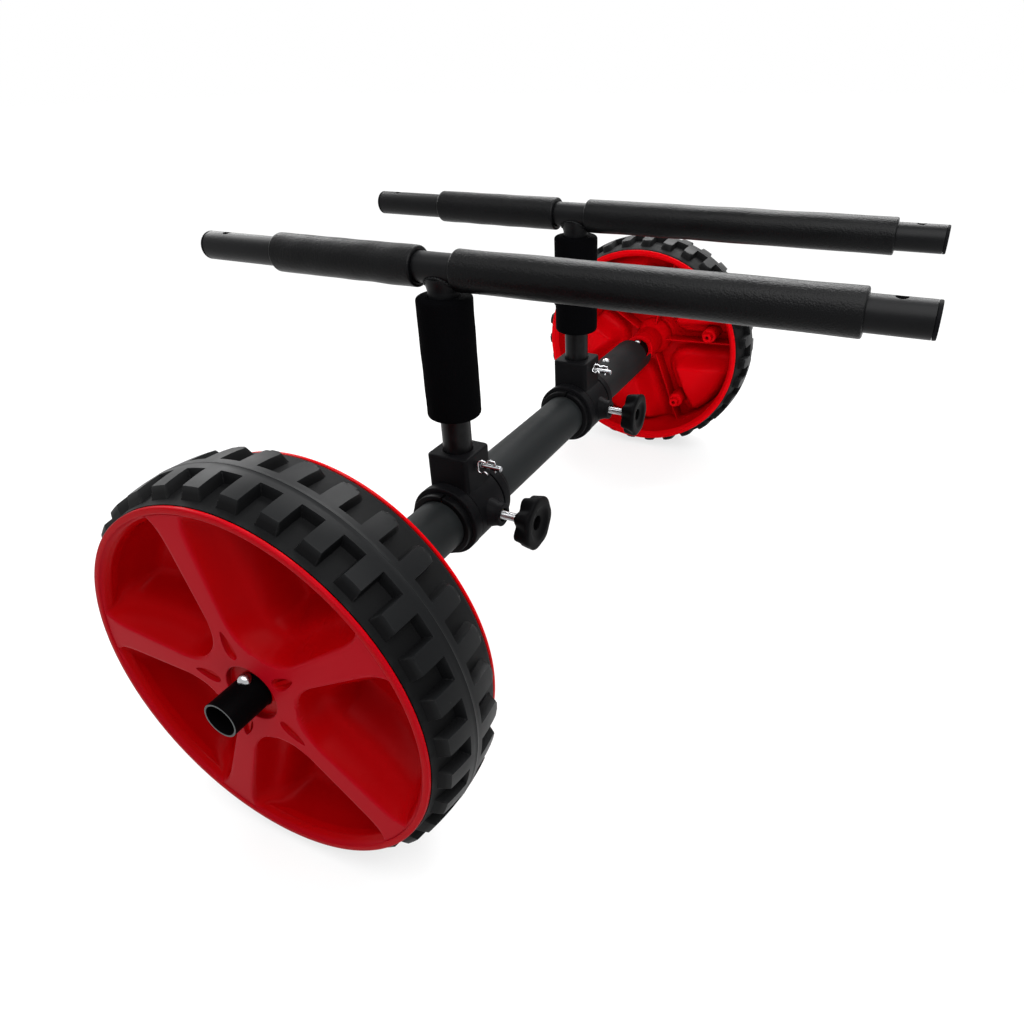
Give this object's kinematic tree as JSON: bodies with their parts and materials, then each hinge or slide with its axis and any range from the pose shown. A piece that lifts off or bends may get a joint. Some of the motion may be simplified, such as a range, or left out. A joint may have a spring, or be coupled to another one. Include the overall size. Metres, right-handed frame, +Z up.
{
  "type": "kayak cart",
  "caption": "Wheeled kayak cart: tube axle with clamp collars carrying padded T-shaped bunks, held by star knobs and hitch pins, on spoked plastic wheels with lugged tyres.",
  "frame": {"origin": "middle of the footprint on the ground under the cart", "axes": "+Z up; +Y along the axle towards the far wheel; +X along the bunks towards their long padded ends and the star knobs"},
  "size_m": [0.586, 0.83, 0.3699],
  "materials": {
    "black_tube": "satin black powder coat",
    "black_plastic": "satin moulded nylon",
    "pad_foam": "matt closed-cell foam with a fine skin",
    "red_wheel": "glossy moulded plastic",
    "tyre_rubber": "satin rubber",
    "bright_steel": "bright zinc plate",
    "brass": "turned brass"
  },
  "bodies": {
    "axle": {"axle_tube": "black_tube", "axle_plug_near": "black_plastic", "stub_tube_near": "black_tube", "lock_spring_near": "bright_steel", "stop_spring_near": "bright_steel", "retainer_spring_near": "bright_steel", "axle_plug_far": "black_plastic", "stub_tube_far": "black_tube", "lock_spring_far": "bright_steel", "stop_spring_far": "bright_steel", "retainer_spring_far": "bright_steel"},
    "wheel_near": {"wheel_hub_near": "red_wheel", "tyre_near": "tyre_rubber"},
    "lock_button_near": {"lock_button_near": "bright_steel"},
    "stop_button_near": {"stop_button_near": "bright_steel"},
    "retainer_button_near": {"retainer_button_near": "bright_steel"},
    "liner_near": {"collar_liner_near": "black_plastic"},
    "bunk_near": {"clamp_collar_near": "black_plastic", "screw_insert_near": "brass", "upright_tube_near": "black_tube", "upright_foam_near": "pad_foam", "bunk_tube_near": "black_tube", "bunk_foam_short_near": "pad_foam", "bunk_foam_long_near": "pad_foam", "end_cap_back_near": "black_plastic", "end_cap_front_near": "black_plastic"},
    "screw_near": {"clamp_screw_near": "bright_steel"},
    "knob_near": {"star_knob_near": "black_plastic"},
    "hitch_near": {"hitch_pin_near": "bright_steel", "hitch_clip_near": "bright_steel"},
    "wheel_far": {"wheel_hub_far": "red_wheel", "tyre_far": "tyre_rubber"},
    "lock_button_far": {"lock_button_far": "bright_steel"},
    "stop_button_far": {"stop_button_far": "bright_steel"},
    "retainer_button_far": {"retainer_button_far": "bright_steel"},
    "liner_far": {"collar_liner_far": "black_plastic"},
    "bunk_far": {"clamp_collar_far": "black_plastic", "screw_insert_far": "brass", "upright_tube_far": "black_tube", "upright_foam_far": "pad_foam", "bunk_tube_far": "black_tube", "bunk_foam_short_far": "pad_foam", "bunk_foam_long_far": "pad_foam", "end_cap_back_far": "black_plastic", "end_cap_front_far": "black_plastic"},
    "screw_far": {"clamp_screw_far": "bright_steel"},
    "knob_far": {"star_knob_far": "black_plastic"},
    "hitch_far": {"hitch_pin_far": "bright_steel", "hitch_clip_far": "bright_steel"}
  },
  "joints": [
    {"name": "wheel_near_turn", "type": "hinge", "parent": "axle", "child": "wheel_near", "pos_m": [-0.053, -0.3525, 0.145], "axis": [0, 1, 0], "continuous": true},
    {"name": "lock_button_near_press", "type": "slide", "parent": "axle", "child": "lock_button_near", "axis": [0, 0, 1], "range_m": [0, 0.0038], "stiffness_N_per_m": 1200, "springref_m": -0.002, "deforming": ["lock_spring_near"]},
    {"name": "stop_button_near_press", "type": "slide", "parent": "axle", "child": "stop_button_near", "axis": [0, 0, -1], "range_m": [0, 0.0038], "stiffness_N_per_m": 1200, "springref_m": -0.002, "deforming": ["stop_spring_near"]},
    {"name": "retainer_button_near_press", "type": "slide", "parent": "axle", "child": "retainer_button_near", "axis": [0, 0, -1], "range_m": [0, 0.0038], "stiffness_N_per_m": 1200, "springref_m": -0.002, "deforming": ["retainer_spring_near"]},
    {"name": "liner_near_slide", "type": "slide", "parent": "axle", "child": "liner_near", "axis": [0, 1, 0], "range_m": [-0.015, 0.092]},
    {"name": "bunk_near_turn", "type": "hinge", "parent": "liner_near", "child": "bunk_near", "pos_m": [-0.053, -0.139, 0.145], "axis": [0, 1, 0], "range_deg": [-90, 90]},
    {"name": "screw_near_travel", "type": "slide", "parent": "bunk_near", "child": "screw_near", "axis": [1, 0, 0], "range_m": [0, 0.005]},
    {"name": "knob_near_turn", "type": "hinge", "parent": "screw_near", "child": "knob_near", "pos_m": [0.013, -0.139, 0.145], "axis": [1, 0, 0], "range_deg": [0, 1441]},
    {"name": "hitch_near_turn", "type": "hinge", "parent": "bunk_near", "child": "hitch_near", "pos_m": [-0.053, -0.139, 0.19], "axis": [1, 0, 0], "continuous": true},
    {"name": "wheel_far_turn", "type": "hinge", "parent": "axle", "child": "wheel_far", "pos_m": [-0.053, 0.3525, 0.145], "axis": [0, 1, 0], "continuous": true},
    {"name": "lock_button_far_press", "type": "slide", "parent": "axle", "child": "lock_button_far", "axis": [0, 0, -1], "range_m": [0, 0.0038], "stiffness_N_per_m": 1200, "springref_m": -0.002, "deforming": ["lock_spring_far"]},
    {"name": "stop_button_far_press", "type": "slide", "parent": "axle", "child": "stop_button_far", "axis": [0, 0, -1], "range_m": [0, 0.0038], "stiffness_N_per_m": 1200, "springref_m": -0.002, "deforming": ["stop_spring_far"]},
    {"name": "retainer_button_far_press", "type": "slide", "parent": "axle", "child": "retainer_button_far", "axis": [0, 0, -1], "range_m": [0, 0.0038], "stiffness_N_per_m": 1200, "springref_m": -0.002, "deforming": ["retainer_spring_far"]},
    {"name": "liner_far_slide", "type": "slide", "parent": "axle", "child": "liner_far", "axis": [0, 1, 0], "range_m": [-0.063, 0.046]},
    {"name": "bunk_far_turn", "type": "hinge", "parent": "liner_far", "child": "bunk_far", "pos_m": [-0.053, 0.108, 0.145], "axis": [0, 1, 0], "range_deg": [-90, 90]},
    {"name": "screw_far_travel", "type": "slide", "parent": "bunk_far", "child": "screw_far", "axis": [1, 0, 0], "range_m": [0, 0.005]},
    {"name": "knob_far_turn", "type": "hinge", "parent": "screw_far", "child": "knob_far", "pos_m": [0.013, 0.108, 0.145], "axis": [1, 0, 0], "range_deg": [0, 1441]},
    {"name": "hitch_far_turn", "type": "hinge", "parent": "bunk_far", "child": "hitch_far", "pos_m": [-0.053, 0.108, 0.19], "axis": [1, 0, 0], "continuous": true}
  ],
  "couplings": [
    {"joint": "knob_near_turn", "follows": "screw_near_travel", "rad_per_m": 5026.5},
    {"joint": "knob_far_turn", "follows": "screw_far_travel", "rad_per_m": 5026.5}
  ]
}
